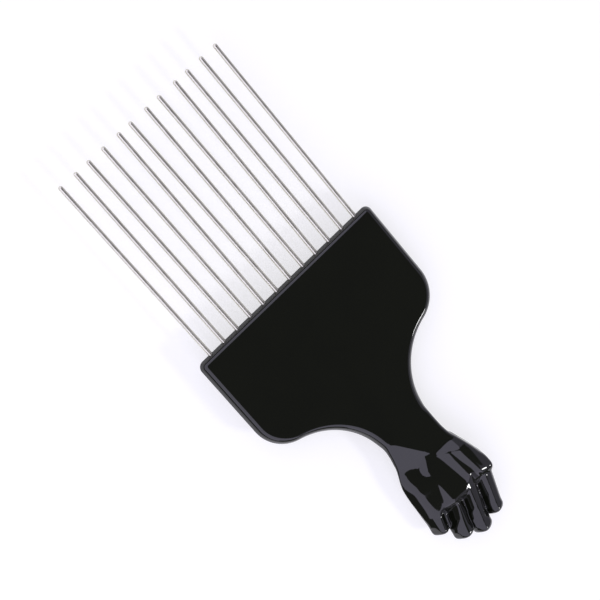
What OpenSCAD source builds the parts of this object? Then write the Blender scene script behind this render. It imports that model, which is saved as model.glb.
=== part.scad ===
// Afro pick with a moulded handle that ends in a raised fist, and a row of straight wire teeth.
// It lies flat with the back of the hand up. +Y points along the teeth to their tips, +X across the
// row, +Z out of the head's front face. The origin is at the bottom of the overall box, in its centre.

/* [Head] */
// Width of the head across the row of teeth
head_w = 76; // [74:0.5:84]
// Thickness of the head and the neck
head_t = 5; // [4.4:0.1:6]
// Depth of the straight sides, from the tooth edge to the middle of the shoulder curve
side_depth = 29.2; // [26:0.2:31]
// Radius of the two shoulders
shoulder_r = 13; // [11:0.5:14]
// Radius of the two corners beside the teeth
corner_r = 2.4; // [2.2:0.1:2.8]
// How far the edge wall leans in on its way up from the parting line, halfway through the thickness
wall_lean = 0.75; // [0.4:0.05:0.8]
// Width of the bevel round both faces, measured along the face
bevel_w = 1.2; // [0.9:0.05:1.35]
// Height of that bevel, measured through the thickness
bevel_h = 0.9; // [0.6:0.1:1.4]

/* [Neck] */
// Narrowest width of the neck
neck_w = 20.2; // [19:0.2:21]
// How far that place lies to the left of the head's middle
neck_shift = 0.5; // [0:0.1:1]
// Distance from the tooth edge to the narrowest place of the neck
neck_depth = 66; // [63:0.2:68]
// Length of the straight wrist below that place
wrist_l = 7.4; // [6:0.2:9]

/* [Fist] */
// Width of the fist across the knuckles
fist_w = 31; // [29:0.5:33]
// Length of the fist, from the wrist to the end of the longest finger
fist_l = 38; // [36:0.5:40]
// Thickness that the hand's joints are spread over, from back to palm
fist_t = 14; // [12.5:0.5:15.5]
// Thickness of one finger
finger_d = 7.6; // [7:0.1:8]

/* [Teeth] */
// Diameter of a tooth's wire
tooth_d = 1.6; // [1.4:0.05:1.7]
// Distance from the middle of the outermost tooth to the head's side
side_margin = 5.8; // [5:0.1:6]
// Length of a tooth outside the head
tooth_l = 71.4; // [66:0.2:76]
// Length of a tooth inside the head
socket_l = 17; // [14:0.5:20]
// How much wider the whole row is at the tips than at the head
row_splay = 1; // [0:0.1:1.5]
// Largest sideways lean of a single tooth, measured at its tip
tooth_lean = 0.6; // [0:0.05:0.7]
// Width of the flattened end that holds a tooth in the plastic
anchor_w = 2.6; // [2.2:0.1:3]
// Thickness of that flattened end
anchor_t = 0.9; // [0.7:0.05:1.2]
// Length of that flattened end
anchor_l = 4; // [3:0.5:5]

/* [Hidden] */

TOOTH_COUNT = 12;
// Lean of each tooth, from the left one to the right one, as a share of the largest lean
lean_shares = [-0.2, 0.45, -0.5, -0.15, 0.8, -0.9, 0.45, -0.45, 1, -0.3, -0.25, -0.1];

// Steps along a rounded corner, a shoulder and the hollow curve beside it
CORNER_STEPS = 6;
SHOULDER_STEPS = 16;
HOLLOW_STEPS = 14;
DOME_STEPS = 6;
BALL_SIDES = 28;

head_half = head_w / 2;
// The row of teeth fills the head's width between the two side margins
tooth_pitch = (head_w - 2 * side_margin) / (TOOTH_COUNT - 1);
shoulder_c = [head_half - shoulder_r, -side_depth];
corner_c = [head_half - corner_r, -corner_r];

// Distance from the head's middle line to the neck's right and left side
neck_right = neck_w / 2 - neck_shift;
neck_left = neck_w / 2 + neck_shift;
// Beside the teeth the wall's lean and the bevel are narrower, by this share
tooth_edge_share = 0.7;
wrist_y = -neck_depth - wrist_l;

// The fist's joints as balls, one row each. x is a share of half the fist's width, y of its length
// from the wrist, z of half its thickness, and the last number of half a finger's thickness. The back
// of the hand is highest at the index finger's side and falls away towards the little finger's side.
// Fingers run from index to little finger, and each has its knuckle, its bent joint and its curl.
hand_back_shares = [
    [-0.56, -0.09, 0, 0.53], [0.49, -0.02, 0, 0.53],
    [-0.66, 0.09, -0.16, 0.72], [-0.76, 0.32, -0.26, 0.85], [-0.78, 0.48, -0.28, 0.91],
    [0.66, 0.43, -0.12, 1.03], [0.53, 0.24, 0.26, 0.95], [0.54, 0.46, 0.29, 1],
    [0.28, 0.44, 0.21, 1], [-0.20, 0.49, 0.04, 1], [-0.68, 0.44, -0.24, 0.95],
    [-0.39, 0.28, -0.40, 0.84], [0.32, 0.34, -0.42, 0.84]];
finger_shares = [
    [[0.60, 0.53, 0.14, 0.96], [0.36, 0.85, -0.05, 0.90], [0.40, 0.50, -0.42, 0.95]],
    [[0.17, 0.53, 0.12, 0.98], [-0.09, 0.90, -0.10, 1.05], [0, 0.49, -0.42, 0.98]],
    [[-0.24, 0.54, 0, 0.95], [-0.48, 0.82, -0.10, 0.98], [-0.40, 0.48, -0.42, 0.96]],
    [[-0.68, 0.50, -0.26, 0.92], [-0.79, 0.65, -0.28, 0.94], [-0.74, 0.40, -0.38, 0.92]]];
thumb_shares = [
    [[0.66, 0.36, -0.20, 0.95], [0.62, 0.57, -0.46, 0.86]],
    [[0.62, 0.57, -0.46, 0.86], [0.06, 0.67, -0.62, 0.78]]];

function fist_point(share) =
    [share[0] * fist_w / 2, wrist_y - share[1] * fist_l, share[2] * fist_t / 2];
function ball_r(share) = share[3] * finger_d / 2;

// Lowest and furthest points of the hand give the overall box.
ball_lows = [for (row = concat(hand_back_shares, [for (f = finger_shares) each f],
    [for (t = thumb_shares) each t])) fist_point(row).z - ball_r(row)];
ball_ends = [for (f = finger_shares) fist_point(f[1]).y - ball_r(f[1])];
under_head = -min(ball_lows);
hand_end = min(ball_ends);
box_mid_y = (tooth_l + hand_end) / 2;

function arc(centre, r, from, to, steps) =
    [for (i = [0 : steps]) centre + r * [cos(from + (to - from) * i / steps),
                                         sin(from + (to - from) * i / steps)]];
function mirrored(points) =
    [for (i = [len(points) - 1 : -1 : 0]) [-points[i].x, points[i].y]];

// The hollow beside the neck is an arc that touches the shoulder's arc, so its radius follows from
// the neck's side. flank_turn is the direction of the touching point, seen from the shoulder's centre.
function hollow_r(neck_half) = let (reach = [neck_half - shoulder_c.x, side_depth - neck_depth])
    (reach * reach - pow(shoulder_r, 2)) / (2 * (shoulder_r - reach.x));
function hollow_c(neck_half) = [neck_half + hollow_r(neck_half), -neck_depth];
function flank_turn(neck_half) = let (way = hollow_c(neck_half) - shoulder_c) atan2(way.y, way.x);

function corner(inset) = [for (i = [0 : CORNER_STEPS]) let (a = 90 * (1 - i / CORNER_STEPS))
    corner_c + [(corner_r - inset) * cos(a), (corner_r - inset * tooth_edge_share) * sin(a)]];

// One side of the outline, drawn in by inset, from the tooth edge down to the wrist
function side(inset, neck_half) = let (turn = flank_turn(neck_half)) concat(
    corner(inset),
    arc(shoulder_c, shoulder_r - inset, 0, turn, SHOULDER_STEPS),
    arc(hollow_c(neck_half), hollow_r(neck_half) + inset, turn + 180, 180, HOLLOW_STEPS),
    [[neck_half - inset, wrist_y]]);
function outline(inset) = concat(side(inset, neck_right), mirrored(side(inset, neck_left)));

module at_rest() {
    translate([0, -box_mid_y, under_head]) children();
}

// Head and neck: a flat plate whose front and back have the same leaning edge wall and bevel
module plate() {
    face_inset = wall_lean + bevel_w;
    levels = [[-head_t / 2, face_inset], [bevel_h - head_t / 2, wall_lean], [0, 0],
              [head_t / 2 - bevel_h, wall_lean], [head_t / 2, face_inset]];
    rings = [for (level = levels) [for (p = outline(level[1])) [p.x, p.y, level[0]]]];
    n = len(rings[0]);
    points = [for (ring = rings) each ring];
    walls = [for (k = [0 : len(levels) - 2], i = [0 : n - 1])
        [k * n + i, k * n + (i + 1) % n, (k + 1) * n + (i + 1) % n, (k + 1) * n + i]];
    top = (len(levels) - 1) * n;
    // Both faces are ladders of rungs that join each point to its opposite one
    front = [for (i = [0 : n / 2 - 2]) [top + i, top + i + 1, top + n - 2 - i, top + n - 1 - i]];
    back = [for (i = [0 : n / 2 - 2]) [n - 1 - i, n - 2 - i, i + 1, i]];
    polyhedron(points, concat(walls, front, back));
}

module ball(share) {
    translate(fist_point(share)) sphere(r = ball_r(share), $fn = BALL_SIDES);
}

module fist() {
    hull() for (share = hand_back_shares) ball(share);
    for (finger = finger_shares) hull() for (share = finger) ball(share);
    for (bone = thumb_shares) hull() for (share = bone) ball(share);
}

// One tooth with its root on the head's edge at x = 0, pointing to +Y
module wire() {
    r = tooth_d / 2;
    dome = [for (i = [0 : DOME_STEPS]) let (a = 90 * i / DOME_STEPS) [r * cos(a), tooth_l - r + r * sin(a)]];
    rotate([-90, 0, 0]) rotate_extrude($fn = 48)
        polygon(concat([[0, -socket_l], [r, -socket_l]], dome));
    translate([-anchor_w / 2, -socket_l, -anchor_t / 2]) cube([anchor_w, anchor_l, anchor_t]);
}

module tooth(i) {
    place = i - (TOOTH_COUNT - 1) / 2;
    tip_shift = row_splay * place / (TOOTH_COUNT - 1) + tooth_lean * lean_shares[i];
    translate([place * tooth_pitch, 0, 0]) rotate([0, 0, -asin(tip_shift / tooth_l)]) wire();
}

module handle() {
    color("#161712") at_rest() difference() {
        union() {
            plate();
            fist();
        }
        for (i = [0 : TOOTH_COUNT - 1]) tooth(i);
    }
}

module tooth_node(number) {
    color("#d3d5d6") at_rest() tooth(number - 1);
}

handle();
tooth_node(1);  // tooth_01
tooth_node(2);  // tooth_02
tooth_node(3);  // tooth_03
tooth_node(4);  // tooth_04
tooth_node(5);  // tooth_05
tooth_node(6);  // tooth_06
tooth_node(7);  // tooth_07
tooth_node(8);  // tooth_08
tooth_node(9);  // tooth_09
tooth_node(10);  // tooth_10
tooth_node(11);  // tooth_11
tooth_node(12);  // tooth_12
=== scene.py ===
"""An afro pick lying on a pale floor: a polished black handle that ends in a fist, and twelve wire teeth.

The frame gives the pieces' places. Lengths in the tables are millimetres in the pick's own axes:
x across the row of teeth, y towards their tips with 0 at the head's edge, z out of the front face
with 0 halfway through the thickness.
"""

import math

import bmesh
import bpy
import numpy as np
from mathutils import Matrix, Vector


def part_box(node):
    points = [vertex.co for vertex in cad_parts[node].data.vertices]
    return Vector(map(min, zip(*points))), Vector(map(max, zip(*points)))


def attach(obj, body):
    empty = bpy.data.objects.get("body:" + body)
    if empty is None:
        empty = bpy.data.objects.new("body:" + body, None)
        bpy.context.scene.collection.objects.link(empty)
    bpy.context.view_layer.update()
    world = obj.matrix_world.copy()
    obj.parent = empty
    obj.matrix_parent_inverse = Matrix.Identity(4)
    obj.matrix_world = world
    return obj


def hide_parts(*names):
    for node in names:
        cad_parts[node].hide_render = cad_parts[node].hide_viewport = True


MM = 0.001
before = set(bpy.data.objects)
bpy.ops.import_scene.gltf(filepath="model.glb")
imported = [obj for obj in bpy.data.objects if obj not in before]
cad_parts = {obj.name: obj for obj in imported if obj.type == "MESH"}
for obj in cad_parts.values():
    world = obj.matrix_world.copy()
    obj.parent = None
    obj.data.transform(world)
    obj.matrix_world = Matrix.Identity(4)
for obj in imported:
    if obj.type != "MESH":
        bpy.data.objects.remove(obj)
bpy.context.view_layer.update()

TOOTH_COUNT = 12
TEETH = ["tooth_%02d" % number for number in range(1, TOOTH_COUNT + 1)]
# The handle's box ends at the tooth edge, and the wires lie halfway through the head's thickness
_, handle_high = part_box("handle")
tooth_low, tooth_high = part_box(TEETH[0])
EDGE_Y = handle_high[1]
MIDDLE_Z = (tooth_low[2] + tooth_high[2]) / 2

# Head and neck, as in the construction
HEAD_HALF = handle_high[0] / MM
HEAD_T = 5.0
FACE_Z = HEAD_T / 2
SIDE_DEPTH = 29.2
SHOULDER_R = 13.0
CORNER_R = 2.4
BEVEL_W = 1.2
BEVEL_H = 0.9
NECK_RIGHT = 9.6
NECK_LEFT = 10.6
NECK_DEPTH = 66.0
# The edge wall leans in from its parting line, so that the mould lets go
WALL_LEAN = 0.75
# How soft the ridge at the parting line is, squared
PARTING_SOFT_SQUARED = 0.01
EDGE_ROUND = 0.3
# Beside the teeth the wall's lean and the bevel are narrower, by this share
TOOTH_EDGE_SHARE = 0.7

# The plate's mesh. A flat border inside the bevel keeps the faces' shading flat.
FACE_BORDER = 0.5
# Points along the tooth edge and a side, and steps along a corner, a shoulder and the neck's hollow
TOOTH_EDGE_POINTS = 24
SIDE_POINTS = 12
CORNER_STEPS = 12
SHOULDER_STEPS = 40
HOLLOW_STEPS = 56
# Rays that find the edge's profile, from straight up to the parting line: start and end in degrees, count
PROFILE_RAYS = [(90, 47, 18), (45, 0, 24)]
RAY_LENGTH = 6.0
RAY_HALVINGS = 40

# The hand's mesh: grid step, and rounds of moving it onto the surface and of evening it out
STEP = 0.25
SETTLE_ROUNDS = 4
RELAX_ROUNDS = 3
# How far one round of evening out moves a point towards the middle of its neighbours
RELAX_SHARE = 0.6
# Reach of the central differences, and the least squared slope that a move is divided by
SLOPE_REACH = 0.02
LEAST_SLOPE_SQUARED = 0.05
# The hand's surface takes over from the neck's plate at the seam. Its own form comes in over BLEND_L
# below BLEND_Y.
SEAM_Y = -61.0
BLEND_Y = -61.5
BLEND_L = 5.0
# The grid starts a little above the seam, and its mesh is cut off a little below it
GRID_OVER_SEAM = 1.5
SEAM_GAP = 0.4
GRID_LOW = (-18.0, -113.0, -8.6)
GRID_HIGH = (17.0, SEAM_Y + GRID_OVER_SEAM, 7.6)
# A turn, in radians, that lies past every point of a ring round the seam
LAST_TURN = 7.0


def smooth_union(a, b, blend):
    """Joins two distance fields with a fillet."""
    share = np.maximum(blend - np.abs(a - b), 0) / blend
    return np.minimum(a, b) - share * share * blend / 4


def smooth_meet(a, b, blend):
    """Keeps what both fields hold, with a rounded edge."""
    return -smooth_union(-a, -b, blend)


def edge_section(out, z):
    """Distance to the plate's edge profile: out is measured outwards from the outline."""
    height = np.sqrt(z * z + PARTING_SOFT_SQUARED)
    wall_top = FACE_Z - BEVEL_H
    lean, slope = WALL_LEAN / wall_top, BEVEL_W / BEVEL_H
    wall = (out + lean * height) / math.hypot(1, lean)
    bevel = (out + WALL_LEAN + (height - wall_top) * slope) / math.hypot(1, slope)
    return smooth_meet(smooth_meet(wall, bevel, EDGE_ROUND), height - FACE_Z, EDGE_ROUND)


def bone(points, start, end, start_r, end_r):
    """Distance to a tapered rod with round ends."""
    start = np.asarray(start, dtype=points.dtype)
    run = np.asarray(end, dtype=points.dtype) - start
    along = np.clip((points - start) @ run / (run @ run), 0, 1)
    away = points - start - along[:, None] * run
    return np.sqrt((away * away).sum(1)) - start_r - (end_r - start_r) * along


# The hand's own forms. Its back steps down from the forefinger's side to the little finger's side.
# A slope is a rise for each millimetre across. A value called soft or blend says how widely a crease
# is rounded.
# Outline at the hand's widest line, from the fingers up to the wrist: y, x
LEFT_SIDE = [
    (-103, -13.0), (-99.5, -15.1), (-96.8, -15.4), (-93, -15.2), (-88.8, -15.0), (-84.5, -14.7),
    (-80.8, -14.15), (-78, -13.4), (-74.8, -12.5), (-72, -11.75), (-68.5, -10.9), (-66, -10.6),
    (-60, -10.6)]
RIGHT_SIDE = [
    (-103, 10.0), (-97.1, 13.2), (-94.6, 14.3), (-92.1, 14.5), (-89.6, 14.3), (-87.6, 13.8), (-84.6, 13.1),
    (-82.1, 12.35), (-79.1, 11.25), (-76.6, 10.3), (-73.3, 9.75), (-69.7, 9.6), (-66, 9.6), (-60, 9.6)]
# Below HAND_TOP_Y the sides change over HAND_CHANGE_L: the widest line moves to another height, the walls
# lean in by other slopes, and the right side draws in a little
HAND_TOP_Y = -68
HAND_CHANGE_L = 12
LEFT_LINE_Z = -1.5
LEFT_LEAN = 0.47
LEFT_LEAN_GAIN = 0.48
LEFT_UNDER_LEAN = 0.2
RIGHT_LINE_Z = 0.5
RIGHT_LEAN = 0.3
RIGHT_LEAN_LOSS = 0.13
RIGHT_INSET = 0.15
# The way to a sloping surface, straight up or sideways, is divided by these to come near a distance
TOP_STRETCH = 1.08
LEFT_STRETCH = 1.3
RIGHT_STRETCH = 1.05
# Between these two places the palm drops below the neck's back, and it ends under the fingers
PALM_TOP_Y = -72
PALM_LOW_Y = -84
PALM_DROP = 4.0
PALM_END_Y = -97.5
SIDES_BLEND = 2.0
TOP_BLEND = 1.0
PALM_BLEND = 4.0
# Where the back of the hand turns down past the knuckles: x, y
KNUCKLES = [
    (-14, -97), (-10.5, -96), (-8, -94), (-3, -93.8), (1.4, -93.9), (5.6, -90.5), (8.3, -92.1), (13, -94)]
KNUCKLE_FALL = 0.55
KNUCKLE_SOFT = 0.8
# Where the forefinger's bone falls away on its right: x, slope, soft
INDEX_FALLS = [(8.0, 0.10, 0.25), (9.0, 0.10, 0.3), (11.3, 0.20, 0.5)]
# Roundings of the creases and between the bones of the back of the hand
CREASE_SOFT = 0.3
LITTLE_BLEND = 0.4
RING_BLEND = 0.3
HIGH_BLEND = 0.25
FOOT_BLEND = 0.4
# Rods with round ends: start, end, radius at the start and at the end. Each finger has an outer and a
# curled rod. Its roof has two planes: their slopes towards the little finger and towards the thumb, the
# crest's shift towards the thumb, and how wide the first plane is at which y. Beyond it the side is steep.
FINGERS = [
    [((9.6, -93.5, 0.4), (5.3, -107.1, 0.4), 4.0, 3.2),
     ((5.3, -107.1, 0.4), (6.2, -94.4, -3.4), 3.2, 3.2),
     0.42, 0.28, 0.3, [(-107, 2.0), (-104.6, 1.8), (-101.6, 1.1), (-98.6, 1.4), (-94, 1.6)]],
    [((2.6, -94.0, 0.6), (-1.6, -109.0, 0.1), 3.5, 3.3),
     ((-1.6, -109.0, 0.1), (0.0, -94.9, -3.4), 3.3, 3.3),
     0.42, 0.28, -0.1,
     [(-110, 2.6), (-108.6, 3.2), (-106.6, 3.7), (-103.1, 3.0), (-101.3, 0.9), (-97, 0.7)]],
    [((-3.6, -94.5, -0.2), (-7.8, -106.0, -0.5), 3.3, 3.3),
     ((-7.8, -106.0, -0.5), (-6.3, -94.4, -3.4), 3.3, 3.2),
     0.40, 0.12, 0.5, [(-108, 1.8), (-106.3, 2.4), (-104, 3.2), (-103, 3.0), (-100.5, 0.8), (-98, 0.5)]],
    [((-9.8, -93.0, -1.3), (-12.6, -99.8, -1.6), 3.2, 3.2),
     ((-12.6, -99.8, -1.6), (-11.5, -91.4, -3.4), 3.2, 3.2),
     0.40, 0.12, 0.3, [(-102, 1.3), (-99, 1.6), (-95, 2.6)]],
]
# The roof's crest lies this far under the rod's top
ROOF_SUNK = 0.05
ROOF_SOFT = 0.2
ROOF_SIDE_SLOPE = 0.85
ROOF_SIDE_SOFT = 0.25
# A fingertip is round seen from above, about a centre this far before the rod's end
TIP_BACK = 1.5
# Its wall leans in: shares of the distance outwards and of the height
TIP_WALL_OUT = 0.94
TIP_WALL_UP = 0.34
TIP_BLEND = 0.5
# The bevel round it grows to its full slope over TIP_BEVEL_L
TIP_BEVEL_W = 0.9
TIP_BEVEL_L = 1.5
TIP_BEVEL_SLOPE = 0.67
TIP_BEVEL_SOFT = 0.2
# Rods of the thumb, which lies across the folded fingers
THUMB = [
    ((8.6, -78.5, -1.2), (10.6, -89.0, -1.5), 2.4, 3.2),
    ((10.6, -89.0, -1.5), (9.8, -95.1, -3.4), 3.2, 3.0),
    ((9.8, -95.1, -3.4), (0.9, -98.9, -4.3), 3.0, 2.8),
]
# Grooves between the fingers: start and end of the groove's bottom, and how steep its walls are
GROOVES = [
    ((-1.7, -97.0, 0.5), (-4.0, -104.0, 0.7), 1.3),
    ((-8.9, -96.4, -1.1), (-11.2, -103.0, -1.1), 1.4),
    ((5.6, -96.6, 1.9), (2.4, -106.5, 0.3), 1.5),
]
GROOVE_ROUND = 0.35
# Roundings where the pieces of the hand join
THUMB_BLEND = 1.2
CURL_BLEND = 1.0
ROOF_BLEND = 0.3
FINGER_BLEND = 0.4
FINGER_FOOT_BLEND = 0.5
GROOVE_BLEND = 0.5


def ease(low, high, at):
    """Runs smoothly from 0 at low to 1 at high."""
    share = np.clip((at - low) / (high - low), 0, 1)
    return share * share * (3 - 2 * share)


def past(distance, soft):
    """Distance beyond a line: 0 before it, with a soft start."""
    return (np.sqrt(distance * distance + soft * soft) + distance) / 2


def curve(table, at):
    """Smooth curve through the rows of a table."""
    spot, value = np.array(table, dtype=float).T
    slope = np.gradient(value, spot)
    row = np.clip(np.searchsorted(spot, at) - 1, 0, len(spot) - 2)
    width = spot[row + 1] - spot[row]
    t = np.clip((at - spot[row]) / width, 0, 1)
    return (value[row] * (1 + 2 * t) * (1 - t) ** 2 + value[row + 1] * t * t * (3 - 2 * t)
            + width * t * (1 - t) * (slope[row] * (1 - t) - slope[row + 1] * t))


def wrist_face(x, y):
    """The wrist's flat face, which falls off to the left beyond a slanting crest."""
    crest_x, crest_y = -6.19, -66.5
    across_x, across_y = 0.831, 0.557
    fall, soft = 0.27, 0.25
    return FACE_Z - fall * past(-(x - crest_x) * across_x - (y - crest_y) * across_y, soft)


def middle_face(x, y):
    """The middle of the back, which rises from the wrist and falls a little to the left."""
    foot_y, rise = -76.5, 0.115
    edge_x, fall = 1, 0.10
    soft = 0.5
    return FACE_Z + rise * past(foot_y - y, soft) - fall * past(edge_x - x, soft)


def ring_bone(x, y, middle):
    """The middle face, which falls off to the left of the ring finger's bone."""
    start_x, start_y, slant, end_x = -1.3, -75, 0.569, -4.4
    fall = 0.42
    crest = np.maximum(end_x, start_x + slant * (y - start_y))
    return middle - fall * past(crest - x, CREASE_SOFT)


def little_bone(x, y):
    """The little finger's side: low and tilted, with a swell, a hollow and a rim that turns down."""
    height, centre_x, start_y = 1.05, -7, -77
    rise, tilt = 0.17, 0.19
    flat_y, flat_loss, flat_soft = -85.5, 0.15, 1.5
    swell, swell_y, swell_l = 0.25, -83.5, 2.2
    rim_x, rim_y, rim_bend, rim_fall, rim_soft = -12.3, -86, 0.02, 0.28, 0.6
    hollow, hollow_x, hollow_y, hollow_r = 0.7, -5, -78.2, 2.4
    rim = rim_x + rim_bend * (y - rim_y) ** 2
    return (height + rise * (start_y - y) - flat_loss * past(flat_y - y, flat_soft) + tilt * (x - centre_x)
            + swell * np.exp(-((y - swell_y) / swell_l) ** 2) - rim_fall * past(rim - x, rim_soft)
            - hollow * np.exp(-((x - hollow_x) ** 2 + (y - hollow_y) ** 2) / hollow_r ** 2))


def middle_bone(x, y):
    """The middle finger's bone, a slightly slanting crest with a plane on each side."""
    height, start_y, rise = 4.35, -79.6, 0.085
    crest_x, crest_y, slant, left_fall = 4.6, -80, 0.06, 0.40
    right_x, right_fall = 5, 0.10
    crest = crest_x - (y - crest_y) * slant
    return (height + rise * (start_y - y) - left_fall * past(crest - x, CREASE_SOFT)
            - right_fall * past(x - right_x, CREASE_SOFT))


def index_bone(x, y):
    """The forefinger's bone, the highest. Its crest bends to the right, and its right side turns down."""
    height, bend_y, rise = 5.7, -84, 0.01
    crest_x, bend, bend_soft, left_fall = 7.9, 0.12, 1, 0.42
    crest = crest_x + bend * past(bend_y - y, bend_soft)
    surface = height + rise * (bend_y - y) - left_fall * past(crest - x, CREASE_SOFT)
    for edge_x, fall, soft in INDEX_FALLS:
        surface = surface - fall * past(x - edge_x, soft)
    return surface


def back_of_hand(x, y):
    """Height of the back of the hand. Each step is a plane that falls away past its crest line."""
    middle = middle_face(x, y)
    low = smooth_union(little_bone(x, y), middle, LITTLE_BLEND)
    low = smooth_meet(smooth_meet(wrist_face(x, y), low, RING_BLEND), ring_bone(x, y, middle), RING_BLEND)
    high = smooth_meet(middle_bone(x, y), index_bone(x, y), HIGH_BLEND)
    # The two higher bones rise from the wrist's face in a steep foot
    foot_y, foot_x, foot_slant, foot_soft, foot_rise = -77.3, 8, 0.25, 1, 0.8
    foot = foot_y - foot_slant * past(x - foot_x, foot_soft)
    high = smooth_union(high, FACE_Z + foot_rise * (foot - y), FOOT_BLEND)
    height = smooth_meet(low, high, HIGH_BLEND)
    turn = np.interp(x, *np.array(KNUCKLES, dtype=float).T)
    return height - KNUCKLE_FALL * past(turn - y, KNUCKLE_SOFT)


def beside(points, start, end):
    """Seen from above: how far points lie beside a line and along it, and the line's length."""
    run = np.array(end[:2], dtype=float) - start[:2]
    length = math.hypot(*run)
    level = run / length
    flat = points[:, :2] - np.array(start[:2])
    return flat[:, 0] * -level[1] + flat[:, 1] * level[0], flat @ level, length


def roof(points, outer, left_slope, right_slope, crest_shift, widths):
    """Distance above a finger's roof, which turns down at its sides and at the fingertip."""
    start, end, start_r, end_r = outer
    aside, along, length = beside(points, start, end)
    aside = aside - crest_shift
    crest = start[2] + start_r - ROOF_SUNK + along / length * (end[2] - start[2] + end_r - start_r)
    # The rods reach beyond the fingertip, which is cut to a round wall with a bevel along its top
    ahead = np.maximum(along - length + TIP_BACK, 0)
    tip = np.hypot(aside + crest_shift, ahead) - end_r
    crest = crest - TIP_BEVEL_SLOPE * past(tip + TIP_BEVEL_W, TIP_BEVEL_SOFT) * ease(0, TIP_BEVEL_L, ahead)
    above = points[:, 2] - crest
    width = np.interp(points[:, 1], *np.array(widths, dtype=float).T)
    fall = (left_slope * past(-aside, ROOF_SOFT) + ROOF_SIDE_SLOPE * past(-aside - width, ROOF_SIDE_SOFT)
            + right_slope * past(aside, ROOF_SOFT))
    return smooth_meet(above + fall, TIP_WALL_OUT * tip + TIP_WALL_UP * above, TIP_BLEND)


def groove(points, start, end, steep):
    """Distance to a groove with slanted walls and a round bottom, open at the top."""
    aside, along, length = beside(points, start, end)
    over = np.maximum(np.maximum(-along, along - length), 0)
    bottom = start[2] + (end[2] - start[2]) * np.clip(along / length, 0, 1)
    width = np.sqrt(aside * aside + over * over + GROOVE_ROUND ** 2)
    return (steep * width - (points[:, 2] - bottom)) / math.hypot(1, steep)


def palm_and_back(points):
    """Distance to the hand without its fingers and thumb."""
    x, y, z = points.T
    hand = np.clip((HAND_TOP_Y - y) / HAND_CHANGE_L, 0, 1)
    top = (z - back_of_hand(x, y)) / TOP_STRETCH
    line = LEFT_LINE_Z * hand
    left = (curve(LEFT_SIDE, y) - x + (LEFT_LEAN + LEFT_LEAN_GAIN * hand) * np.maximum(z - line, 0)
            + LEFT_UNDER_LEAN * np.maximum(line - z, 0)) / LEFT_STRETCH
    right = (x - curve(RIGHT_SIDE, y) + RIGHT_INSET * hand
             + (RIGHT_LEAN - RIGHT_LEAN_LOSS * hand) * np.abs(z - RIGHT_LINE_Z * hand)) / RIGHT_STRETCH
    under = -FACE_Z - PALM_DROP * ease(PALM_TOP_Y, PALM_LOW_Y, y) - z
    body = smooth_meet(top, smooth_meet(left, right, SIDES_BLEND), TOP_BLEND)
    return smooth_meet(smooth_meet(body, under, PALM_BLEND), PALM_END_Y - y, PALM_BLEND)


def neck_plate(points):
    """Distance to the neck, whose sides widen in an arc above the narrowest place."""
    x, y, z = points.T
    rise = np.maximum(y + NECK_DEPTH, 0)
    right_r, left_r = hollow_radius(NECK_RIGHT), hollow_radius(NECK_LEFT)
    right = right_r - np.hypot(NECK_RIGHT + right_r - x, rise)
    left = left_r - np.hypot(NECK_LEFT + left_r + x, rise)
    return edge_section(np.maximum(right, left), z)


def hand_field(points):
    """Distance to everything below the seam: the neck's end, which turns into the fist."""
    hand = palm_and_back(points)
    for row in THUMB:
        hand = smooth_union(hand, bone(points, *row), THUMB_BLEND)
    fingers = None
    for outer, curl, *slopes in FINGERS:
        whole = smooth_union(bone(points, *outer), bone(points, *curl), CURL_BLEND)
        whole = smooth_meet(whole, roof(points, outer, *slopes), ROOF_BLEND)
        fingers = whole if fingers is None else smooth_union(fingers, whole, FINGER_BLEND)
    hand = smooth_union(hand, fingers, FINGER_FOOT_BLEND)
    for row in GROOVES:
        hand = smooth_meet(hand, -groove(points, *row), GROOVE_BLEND)
    share = ease(BLEND_Y, BLEND_Y - BLEND_L, points[:, 1])
    return neck_plate(points) * (1 - share) + hand * share


def field_slope(field, points):
    """Gradient of a field by central differences."""
    slope = np.empty_like(points)
    for axis in range(3):
        shift = np.zeros(3)
        shift[axis] = SLOPE_REACH
        slope[:, axis] = (field(points + shift) - field(points - shift)) / (2 * SLOPE_REACH)
    return slope


def settle(field, points, rounds):
    """Moves points onto the field's surface."""
    for _ in range(rounds):
        slope = field_slope(field, points)
        steep = np.maximum((slope * slope).sum(1), LEAST_SLOPE_SQUARED)
        points = points - slope * (field(points) / steep)[:, None]
    return points


def fill_pinches(inside):
    """Fills grid corners in place until no two of them meet only across a square's diagonal."""
    halves = (slice(0, -1), slice(1, None))
    found = True
    while found:
        found = False
        for u, v in ((0, 1), (0, 2), (1, 2)):
            square = []
            for i, j in ((0, 0), (1, 0), (0, 1), (1, 1)):
                index = [slice(None)] * 3
                index[u], index[v] = halves[i], halves[j]
                square.append(inside[tuple(index)])
            a, b, c, d = square
            cross = (a & d & ~b & ~c) | (b & c & ~a & ~d)
            found = found or bool(cross.any())
            for corner in square:
                np.logical_or(corner, cross, out=corner)


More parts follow.
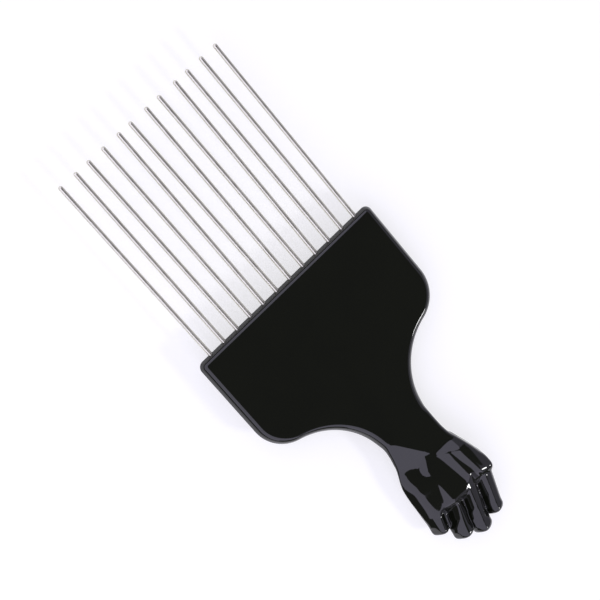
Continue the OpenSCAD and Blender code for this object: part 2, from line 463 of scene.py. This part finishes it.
def surface_net(field, low, high):
    """Meshes the field's surface on a grid, one point in each cell that the surface crosses."""
    axes = [np.arange(low[a], high[a] + STEP, STEP) for a in range(3)]
    shape = [len(axis) for axis in axes]
    grid = np.stack(np.meshgrid(*axes, indexing="ij"), -1).reshape(-1, 3)
    inside = (field(grid) < 0).reshape(shape)
    fill_pinches(inside)
    offsets = [(i, j, k) for i in (0, 1) for j in (0, 1) for k in (0, 1)]
    corners = sum(inside[i:shape[0] - 1 + i, j:shape[1] - 1 + j, k:shape[2] - 1 + k].astype(np.int8)
                  for i, j, k in offsets)
    crossed = (corners > 0) & (corners < len(offsets))
    number = np.full(crossed.shape, -1)
    number[crossed] = np.arange(crossed.sum())
    points = np.stack([axes[a][index] + STEP / 2 for a, index in enumerate(np.nonzero(crossed))], 1)
    faces = []
    for axis in range(3):
        first = [slice(None)] * 3
        second = [slice(None)] * 3
        first[axis] = slice(0, -1)
        second[axis] = slice(1, None)
        here, there = inside[tuple(first)], inside[tuple(second)]
        u, v = [a for a in range(3) if a != axis]
        cut = np.argwhere(here != there)
        # Edges on the grid's rim have no ring of four cells
        off_low = (cut[:, u] > 0) & (cut[:, v] > 0)
        off_high = (cut[:, u] < shape[u] - 1) & (cut[:, v] < shape[v] - 1)
        cut = cut[off_low & off_high]
        ring = []
        for du, dv in ((-1, -1), (0, -1), (0, 0), (-1, 0)):
            cell = cut.copy()
            cell[:, u] += du
            cell[:, v] += dv
            ring.append(number[tuple(cell.T)])
        quads = np.stack(ring, 1)
        flip = here[tuple(cut.T)] == (axis == 1)
        quads[flip] = quads[flip][:, ::-1]
        faces.append(quads)
    faces = np.concatenate(faces)
    return points, faces[(faces >= 0).all(1)]


def relax(field, points, faces, rounds):
    """Evens out a net without leaving the surface."""
    edges = np.concatenate([faces[:, [i, (i + 1) % 4]] for i in range(4)])
    edges = np.concatenate([edges, edges[:, ::-1]])
    starts, ends = edges.T
    count = np.bincount(starts, minlength=len(points))
    for _ in range(rounds):
        total = np.stack([np.bincount(starts, points[ends, a], len(points)) for a in range(3)], 1)
        mean = total / np.maximum(count, 1)[:, None]
        points = settle(field, points + RELAX_SHARE * (mean - points), 1)
    return points


def arc(centre, radius, start, end, steps):
    """Points and outward turns along an arc, in degrees."""
    turns = np.radians(np.linspace(start, end, steps + 1))
    return [(centre[0] + radius * math.cos(t), centre[1] + radius * math.sin(t), t) for t in turns]


def hollow_radius(neck_half):
    """Radius of the hollow beside the neck, which touches the shoulder's arc."""
    across, down = neck_half - HEAD_HALF + SHOULDER_R, SIDE_DEPTH - NECK_DEPTH
    return (across ** 2 + down ** 2 - SHOULDER_R ** 2) / (2 * (SHOULDER_R - across))


def half_outline(neck_half):
    """Half of the plate's outline from the tooth edge to the seam: x, y and outward direction."""
    shoulder = (HEAD_HALF - SHOULDER_R, -SIDE_DEPTH)
    hollow_r = hollow_radius(neck_half)
    hollow = (neck_half + hollow_r, -NECK_DEPTH)
    turn = math.degrees(math.atan2(hollow[1] - shoulder[1], hollow[0] - shoulder[0]))
    corner = arc((HEAD_HALF - CORNER_R, -CORNER_R), CORNER_R, 90, 0, CORNER_STEPS)
    side = [(HEAD_HALF, y, 0.0) for y in np.linspace(-CORNER_R, -SIDE_DEPTH, SIDE_POINTS)[1:-1]]
    bend = arc(shoulder, SHOULDER_R, 0, turn, SHOULDER_STEPS)
    last = 180 - math.degrees(math.asin((SEAM_Y + NECK_DEPTH) / hollow_r))
    inward = [(x, y, t - math.pi) for x, y, t in arc(hollow, hollow_r, turn + 180, last, HOLLOW_STEPS)]
    return corner + side + bend + inward[1:]


def edge_profile():
    """Points round the plate's edge from the front border to the back one, found on edge_section."""
    border = WALL_LEAN + BEVEL_W + FACE_BORDER
    heart = np.array([-border, 0.0])
    angles = np.radians(np.concatenate([np.linspace(*row) for row in PROFILE_RAYS]))
    rays = np.stack([np.cos(angles), np.sin(angles)], 1)
    near, far = np.zeros(len(rays)), np.full(len(rays), RAY_LENGTH)
    for _ in range(RAY_HALVINGS):
        middle = (near + far) / 2
        spot = heart + rays * middle[:, None]
        inside = edge_section(spot[:, 0], spot[:, 1]) < 0
        near, far = np.where(inside, middle, near), np.where(inside, far, middle)
    front = heart + rays * near[:, None]
    return np.concatenate([front, front[-2::-1] * (1, -1)])


def plate_mesh():
    """The head and neck above the seam: rings of the edge profile along the outline, and two faces."""
    right = half_outline(NECK_RIGHT)
    left = [(-x, y, math.pi - t) for x, y, t in half_outline(NECK_LEFT)[::-1]]
    top_end = HEAD_HALF - CORNER_R
    top = [(x, 0.0, math.pi / 2) for x in np.linspace(-top_end, top_end, TOOTH_EDGE_POINTS)[1:-1]]
    stations = left + top + right
    profile = edge_profile()
    points = []
    for x, y, t in stations:
        share = TOOTH_EDGE_SHARE if y > -CORNER_R else 1
        points.extend((x + d * math.cos(t), y + d * math.sin(t) * share, z) for d, z in profile)
    n, rows = len(profile), len(stations)
    faces = [(i * n + j, (i + 1) * n + j, (i + 1) * n + j + 1, i * n + j + 1)
             for i in range(rows - 1) for j in range(n - 1)]
    faces.append(tuple(i * n for i in range(rows - 1, -1, -1)))
    faces.append(tuple(i * n + n - 1 for i in range(rows)))
    ends = list(range(n)) + [(rows - 1) * n + j for j in range(n)]
    return np.array(points), faces, ends


def zip_rings(points, first, second):
    """Triangles between two rings that run round the same section of the neck."""
    def turn(index):
        """Where a point lies round the section, in radians."""
        return math.atan2(points[index][2] / HEAD_T, points[index][0] / NECK_LEFT / 2)

    first = sorted(first, key=turn)
    second = sorted(second, key=turn)
    faces, i, j = [], 0, 0
    while i < len(first) or j < len(second):
        a, b = first[i % len(first)], second[j % len(second)]
        after_a = turn(first[i + 1]) if i + 1 < len(first) else LAST_TURN
        after_b = turn(second[j + 1]) if j + 1 < len(second) else LAST_TURN
        if j >= len(second) or (i < len(first) and after_a <= after_b):
            faces.append((a, first[(i + 1) % len(first)], b))
            i += 1
        else:
            faces.append((a, second[(j + 1) % len(second)], b))
            j += 1
    return faces


def handle_mesh():
    """One closed mesh: the plate down to the seam and the hand below it."""
    plate, plate_faces, seam = plate_mesh()
    net, net_faces = surface_net(hand_field, GRID_LOW, GRID_HIGH)
    net = settle(hand_field, net, SETTLE_ROUNDS)
    net = relax(hand_field, net, net_faces, RELAX_ROUNDS)
    below = net[:, 1] < SEAM_Y - SEAM_GAP
    net_faces = net_faces[below[net_faces].all(1)]
    used = np.zeros(len(net), bool)
    used[net_faces.ravel()] = True
    renumber = np.cumsum(used) - 1
    net, net_faces = net[used], renumber[net_faces] + len(plate)
    points = np.concatenate([plate, net])
    # The net's open rim at the seam is made of the sides that only one face has
    sides = np.concatenate([net_faces[:, [i, (i + 1) % 4]] for i in range(4)])
    _, index, count = np.unique(np.sort(sides, 1), axis=0, return_index=True, return_counts=True)
    rim = sorted(set(sides[index[count == 1]].ravel().tolist()))
    faces = plate_faces + [tuple(f) for f in net_faces.tolist()] + zip_rings(points, seam, rim)
    return points, faces


def to_frame(points):
    """From the pick's millimetres to the frame's metres."""
    return np.asarray(points) * MM + (0, EDGE_Y, MIDDLE_Z)


def mesh_object(name, points, faces, material):
    """An object in the scene from points in metres."""
    mesh = bpy.data.meshes.new(name)
    mesh.from_pydata(points, [], faces)
    mesh.materials.append(material)
    thing = bpy.data.objects.new(name, mesh)
    bpy.context.collection.objects.link(thing)
    return thing


def new_piece(name, points, faces, material):
    """A smoothly shaded piece of the pick, with its faces turned outwards."""
    piece = mesh_object(name, to_frame(points).tolist(), faces, material)
    mesh = piece.data
    work = bmesh.new()
    work.from_mesh(mesh)
    bmesh.ops.recalc_face_normals(work, faces=work.faces)
    work.to_mesh(mesh)
    work.free()
    mesh.polygons.foreach_set("use_smooth", [True] * len(mesh.polygons))
    mesh.update()
    return piece


def linear(code):
    """sRGB hex to linear colour, by the standard's own curve."""
    parts = [int(code[i:i + 2], 16) / 255 for i in (1, 3, 5)]
    return tuple(c / 12.92 if c <= 0.04045 else ((c + 0.055) / 1.055) ** 2.4 for c in parts) + (1.0,)


def add(tree, kind, links=None, **settings):
    """Adds a node: links maps its inputs to other nodes' outputs, or to plain values."""
    node = tree.nodes.new(kind)
    for name, value in settings.items():
        setattr(node, name, value)
    for name, value in (links or {}).items():
        if isinstance(value, bpy.types.NodeSocket):
            tree.links.new(value, node.inputs[name])
        else:
            node.inputs[name].default_value = value
    return node


def new_material(name):
    """A material with an empty node tree."""
    material = bpy.data.materials.new(name)
    material.use_nodes = True
    tree = material.node_tree
    tree.nodes.clear()
    return material, tree


def black_polystyrene():
    """Black polystyrene, moulded against a polished tool.

    The eye gets a deep, faintly warm black under a clear gloss. Slow waves from the cooling plastic bend
    the edges of the reflections a little, and fine handling haze softens them in places.
    """
    material, tree = new_material("black_polystyrene_moulded")
    place = add(tree, "ShaderNodeTexCoord").outputs["Object"]
    # Pigment flow, some 20 mm across
    flow = add(tree, "ShaderNodeTexNoise", {
        "Vector": place, "Scale": 1 / (20 * MM), "Detail": 3.0, "Distortion": 0.8})
    tint = add(tree, "ShaderNodeMix", {
        "Factor": flow.outputs["Fac"], "A": linear("#0a0c07"), "B": linear("#10120b")}, data_type="RGBA")
    # Handling haze: wide patches, broken up by specks of 0.6 mm
    patch = add(tree, "ShaderNodeTexNoise", {"Vector": place, "Scale": 1 / (9 * MM), "Detail": 2.0})
    speck = add(tree, "ShaderNodeTexNoise", {"Vector": place, "Scale": 1 / (0.6 * MM), "Detail": 4.0})
    haze = add(tree, "ShaderNodeMath", {
        0: patch.outputs["Fac"], 1: speck.outputs["Fac"]}, operation="MULTIPLY")
    rough = add(tree, "ShaderNodeMapRange", {
        "Value": haze.outputs["Value"], "From Min": 0.1, "From Max": 0.5, "To Min": 0.03, "To Max": 0.085})
    # Cooling waves, about 5 mm from crest to crest and a few thousandths of a millimetre high
    wave = add(tree, "ShaderNodeTexNoise", {
        "Vector": place, "Scale": 1 / (5 * MM), "Detail": 1.0, "Roughness": 0.3})
    skin = add(tree, "ShaderNodeBump", {
        "Height": wave.outputs["Fac"], "Strength": 1.0, "Distance": 0.006 * MM})
    shader = add(tree, "ShaderNodeBsdfPrincipled", {
        "Base Color": tint.outputs["Result"], "Roughness": rough.outputs["Result"], "IOR": 1.55,
        "Normal": skin.outputs["Normal"]})
    add(tree, "ShaderNodeOutputMaterial", {"Surface": shader.outputs["BSDF"]})
    return material


def nickel_wire():
    """Steel wire, drawn through a die and nickel plated.

    The eye gets a bright, slightly warm metal. Draw lines along the wire stretch its highlights, and the
    plating is duller in places.
    """
    material, tree = new_material("nickel_plated_drawn_wire")
    place = add(tree, "ShaderNodeTexCoord").outputs["Object"]
    # Draw lines: 0.08 mm apart across the wire, some 30 mm long
    along = add(tree, "ShaderNodeMapping", {
        "Vector": place, "Scale": (1 / (0.08 * MM), 1 / (30 * MM), 1 / (0.08 * MM))})
    lines = add(tree, "ShaderNodeTexNoise", {
        "Vector": along.outputs["Vector"], "Scale": 1.0, "Detail": 2.0})
    # Dull patches in the plating, some 4 mm long
    patch = add(tree, "ShaderNodeTexNoise", {"Vector": place, "Scale": 1 / (4 * MM), "Detail": 3.0})
    tint = add(tree, "ShaderNodeMix", {
        "Factor": patch.outputs["Fac"], "A": linear("#d4d2c2"), "B": linear("#ecebdc")}, data_type="RGBA")
    rough = add(tree, "ShaderNodeMapRange", {
        "Value": patch.outputs["Fac"], "From Min": 0.3, "From Max": 0.7, "To Min": 0.28, "To Max": 0.38})
    skin = add(tree, "ShaderNodeBump", {
        "Height": lines.outputs["Fac"], "Strength": 0.5, "Distance": 0.004 * MM})
    shader = add(tree, "ShaderNodeBsdfPrincipled", {
        "Base Color": tint.outputs["Result"], "Metallic": 1.0, "Roughness": rough.outputs["Result"],
        "Normal": skin.outputs["Normal"]})
    add(tree, "ShaderNodeOutputMaterial", {"Surface": shader.outputs["BSDF"]})
    return material


plastic = black_polystyrene()
wire = nickel_wire()

points, faces = handle_mesh()
handle = new_piece("moulded_handle", points, faces, plastic)
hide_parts("handle")
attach(handle, "root")

for name in TEETH:
    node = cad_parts[name]
    for slot in node.material_slots:
        slot.material = wire

# Floor and light. The pick lies in a light tent: bright cloth from the left to behind the teeth, dimmer
# cloth on the right and below the fist, and an open, dark top that the flat faces reflect. Lengths are
# metres from here on.
TENT_R = 1.2
TENT_STEP_DEG = 5.0
# Points in each of a tent wall's columns
TENT_COLUMN = 9
BRIGHT_CLOTH = 1.68
DIM_CLOTH = 0.62
FLOOR_HALF = 3
FLOOR_GLOW = 0.6
WORLD_GLOW = 0.1


def place_at(turn, height, distance):
    """A place seen from the pick in a direction and at a height, both in degrees."""
    a, h = math.radians(turn), math.radians(height)
    level_distance = distance * math.cos(h)
    return (level_distance * math.cos(a), level_distance * math.sin(a), distance * math.sin(h))


def staged(name, points, faces, material):
    """An object of the studio, which isn't part of the pick."""
    thing = mesh_object(name, points, faces, material)


def lit_cloth(name, strength):
    """White cloth with a light behind it, faintly lavender."""
    material, tree = new_material(name)
    glow = add(tree, "ShaderNodeEmission", {"Color": linear("#eae6ff"), "Strength": strength})
    add(tree, "ShaderNodeOutputMaterial", {"Surface": glow.outputs["Emission"]})
    return material


def tent_wall(name, stations, strength):
    """A curved wall round the pick. A station is a direction, a lower and an upper height, in degrees."""
    turns, lows, highs = (np.array(part, dtype=float) for part in zip(*stations))
    fine = np.arange(turns[0], turns[-1] + 1, TENT_STEP_DEG)
    points = []
    for turn, low, high in zip(fine, np.interp(fine, turns, lows), np.interp(fine, turns, highs)):
        points.extend(place_at(turn, height, TENT_R) for height in np.linspace(low, high, TENT_COLUMN))
    n = TENT_COLUMN
    faces = [(i * n + j, i * n + j + 1, (i + 1) * n + j + 1, (i + 1) * n + j)
             for i in range(len(fine) - 1) for j in range(n - 1)]
    staged(name, points, faces, lit_cloth(name + "_cloth", strength))


def round_lamp(name, turn, height, distance, size, watts):
    """A round lamp that points at the pick."""
    data = bpy.data.lights.new(name, "AREA")
    data.shape = "DISK"
    data.size = size
    data.energy = watts
    lamp = bpy.data.objects.new(name, data)
    lamp.location = place_at(turn, height, distance)
    lamp.rotation_euler = Vector(lamp.location).to_track_quat("Z", "Y").to_euler()
    bpy.context.collection.objects.link(lamp)


def white_paper():
    """White paper, which looks brighter to the camera and in mirror images than it lights the pick."""
    material, tree = new_material("white_floor")
    paper = add(tree, "ShaderNodeBsdfDiffuse", {"Color": linear("#b6b6b6")})
    path = add(tree, "ShaderNodeLightPath")
    seen = add(tree, "ShaderNodeMath", {
        0: path.outputs["Is Camera Ray"], 1: path.outputs["Is Glossy Ray"]}, operation="MAXIMUM")
    seen = add(tree, "ShaderNodeMath", {
        0: seen.outputs["Value"], 1: path.outputs["Is Transmission Ray"]}, operation="MAXIMUM")
    lift = add(tree, "ShaderNodeMath", {0: seen.outputs["Value"], 1: FLOOR_GLOW}, operation="MULTIPLY")
    glow = add(tree, "ShaderNodeEmission", {"Strength": lift.outputs["Value"]})
    both = add(tree, "ShaderNodeAddShader", {0: paper.outputs["BSDF"], 1: glow.outputs["Emission"]})
    add(tree, "ShaderNodeOutputMaterial", {"Surface": both.outputs["Shader"]})
    return material


tent_wall("tent_left", [
    (60, 12, 66), (90, 12, 70), (130, 12, 75), (155, 14, 75), (180, 15, 72), (200, 18, 65), (215, 14, 61),
    (230, 9, 60), (265, 10, 60)], BRIGHT_CLOTH)
tent_wall("tent_below", [(265, 12, 50), (300, 12, 50), (315, 6, 50)], DIM_CLOTH)
tent_wall("tent_right", [(315, 3, 45), (420, 3, 45)], DIM_CLOTH)
round_lamp("fist_lamp", turn=-65, height=35, distance=1.1, size=0.21, watts=3.4)

floor_corners = [(-FLOOR_HALF, -FLOOR_HALF, 0), (FLOOR_HALF, -FLOOR_HALF, 0),
                 (FLOOR_HALF, FLOOR_HALF, 0), (-FLOOR_HALF, FLOOR_HALF, 0)]
staged("floor", floor_corners, [(0, 1, 2, 3)], white_paper())

world = bpy.data.worlds.new("studio")
world.use_nodes = True
bpy.context.scene.world = world
world.node_tree.nodes["Background"].inputs["Color"].default_value = (1, 1, 1, 1)
world.node_tree.nodes["Background"].inputs["Strength"].default_value = WORLD_GLOW

# Camera, from the photograph's viewing angle. It stands over the head, leaning by VIEW_X to the left and by
# VIEW_Y towards the tooth tips, and is rolled by ROLL, all in radians. FOCAL_PX is its focal length in
# pixels of the photograph.
VIEW_X, VIEW_Y = 0.192284, 0.311005
ROLL = -0.770196
DISTANCE = 0.61338
FOCAL_PX = 1928.95
PHOTO_PX = 600
SENSOR_MM = 36.0
NEAREST = 0.01
TARGET = Vector((0.0009, EDGE_Y - 0.00787, MIDDLE_Z))
toward = Vector((-math.sin(VIEW_X), math.sin(VIEW_Y), 0))
toward.z = math.sqrt(1 - toward.x ** 2 - toward.y ** 2)
level = (Vector((1, 0, 0)) - toward * toward.x).normalized()
upright = toward.cross(level)
right_hand = math.cos(ROLL) * level + math.sin(ROLL) * upright
up = -math.sin(ROLL) * level + math.cos(ROLL) * upright
camera_data = bpy.data.cameras.new("camera")
camera_data.sensor_width = SENSOR_MM
camera_data.lens = SENSOR_MM * FOCAL_PX / PHOTO_PX
camera_data.clip_start = NEAREST
camera = bpy.data.objects.new("camera", camera_data)
turned = Matrix((right_hand, up, toward)).transposed().to_4x4()
camera.matrix_world = Matrix.Translation(TARGET + toward * DISTANCE) @ turned
bpy.context.collection.objects.link(camera)
bpy.context.scene.camera = camera

bpy.context.scene.view_settings.view_transform = "Standard"
